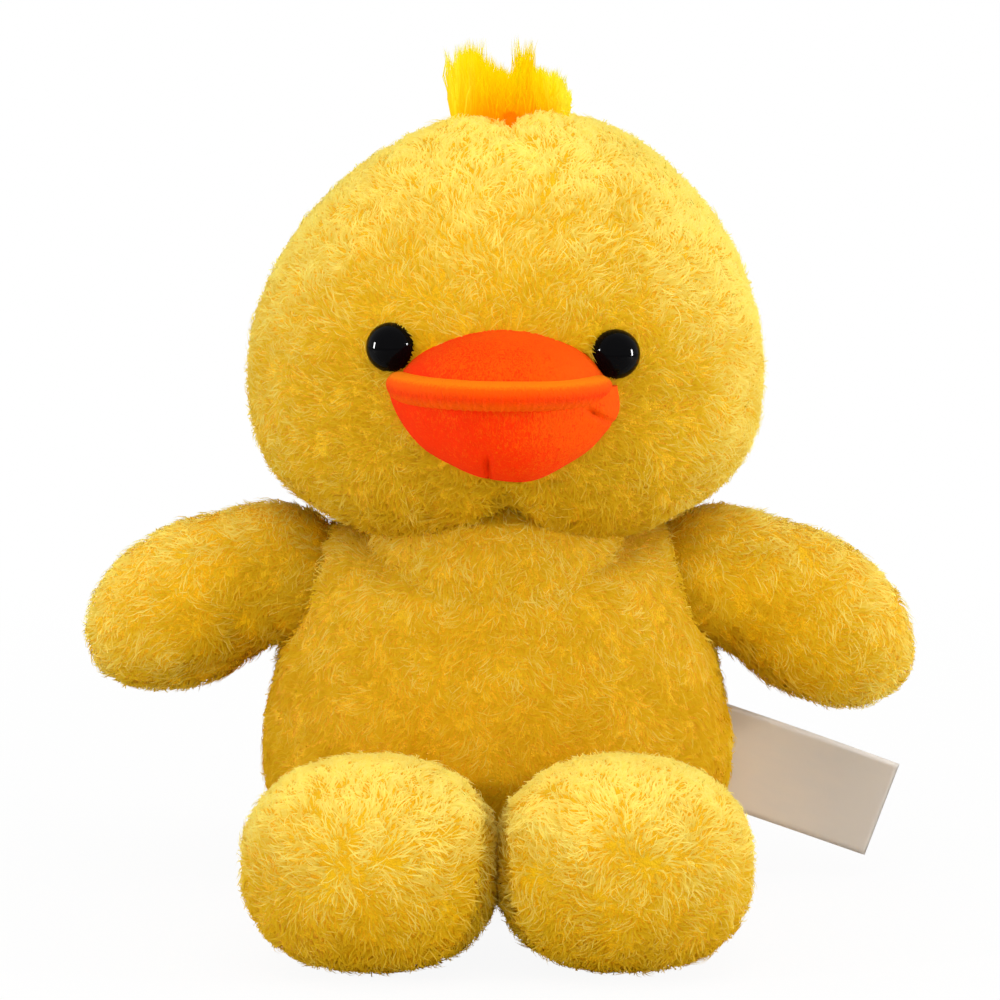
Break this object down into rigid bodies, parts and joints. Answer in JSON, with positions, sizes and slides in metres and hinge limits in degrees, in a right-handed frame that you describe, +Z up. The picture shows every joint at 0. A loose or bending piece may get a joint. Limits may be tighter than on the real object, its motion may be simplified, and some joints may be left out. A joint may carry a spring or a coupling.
{
  "type": "plush chick",
  "caption": "Sitting plush toy chick with a big round head, stuffed wings and feet that swing, a padded orange beak, glossy eyes, a crown tuft and a bare sewn-in label.",
  "frame": {"origin": "on the floor under the middle of the body, at the flat the body sits on", "axes": "+Z up through the crown, the chick faces -Y and its own left is +X"},
  "size_m": [0.2742, 0.2008, 0.283],
  "materials": {
    "body_plush": "dense short-pile plush, golden yellow, lighter at the tips",
    "head_plush": "dense short-pile plush, yellow, pale at the tips",
    "limb_plush": "dense short-pile plush, yellow",
    "foot_plush": "dense short-pile plush, lemon yellow, pile whorled on the sole",
    "beak_velboa": "very short brushed pile, orange",
    "lip_velboa": "very short brushed pile, lighter orange",
    "tuft_fibre": "long straight pile, orange at the root and bright yellow at the tips",
    "stuffing": "loose white polyester fibre",
    "eye_plastic": "polished black",
    "washer_plastic": "plain moulded white",
    "label_ribbon": "woven satin ribbon, bare, beige"
  },
  "bodies": {
    "body": {"body_cover": "body_plush", "body_stuffing": "stuffing", "label": "label_ribbon"},
    "neck": {"neck_stuffing": "stuffing"},
    "head": {"head_cover": "head_plush", "head_stuffing": "stuffing", "upper_beak": "beak_velboa", "lower_beak": "beak_velboa", "beak_lip": "lip_velboa", "beak_stuffing": "stuffing", "tuft": "tuft_fibre", "left_eye": "eye_plastic", "right_eye": "eye_plastic", "left_eye_washer": "washer_plastic", "right_eye_washer": "washer_plastic"},
    "left_wing": {"left_wing_cover": "limb_plush", "left_wing_stuffing": "stuffing"},
    "right_wing": {"right_wing_cover": "limb_plush", "right_wing_stuffing": "stuffing"},
    "left_foot": {"left_foot_cover": "foot_plush", "left_foot_stuffing": "stuffing"},
    "right_foot": {"right_foot_cover": "foot_plush", "right_foot_stuffing": "stuffing"}
  },
  "joints": [
    {"name": "head_turn", "type": "hinge", "parent": "body", "child": "neck", "pos_m": [0, 0, 0.112], "axis": [0, 0, 1], "range_deg": [-20, 20], "stiffness_Nm_per_rad": 1.5},
    {"name": "head_nod", "type": "hinge", "parent": "neck", "child": "head", "pos_m": [0, 0, 0.112], "axis": [1, 0, 0], "range_deg": [-7, 7], "stiffness_Nm_per_rad": 3},
    {"name": "left_wing_lift", "type": "hinge", "parent": "body", "child": "left_wing", "pos_m": [0.063, 0, 0.104], "axis": [0, -1, 0], "range_deg": [-10, 20], "stiffness_Nm_per_rad": 0.5},
    {"name": "right_wing_lift", "type": "hinge", "parent": "body", "child": "right_wing", "pos_m": [-0.063, 0, 0.104], "axis": [0, 1, 0], "range_deg": [-10, 20], "stiffness_Nm_per_rad": 0.5},
    {"name": "left_foot_lift", "type": "hinge", "parent": "body", "child": "left_foot", "pos_m": [0.0344, -0.041, 0.0327], "axis": [-1, 0, 0], "range_deg": [-20, 15], "stiffness_Nm_per_rad": 0.8},
    {"name": "right_foot_lift", "type": "hinge", "parent": "body", "child": "right_foot", "pos_m": [-0.0344, -0.041, 0.0327], "axis": [-1, 0, 0], "range_deg": [-20, 15], "stiffness_Nm_per_rad": 0.8}
  ]
}
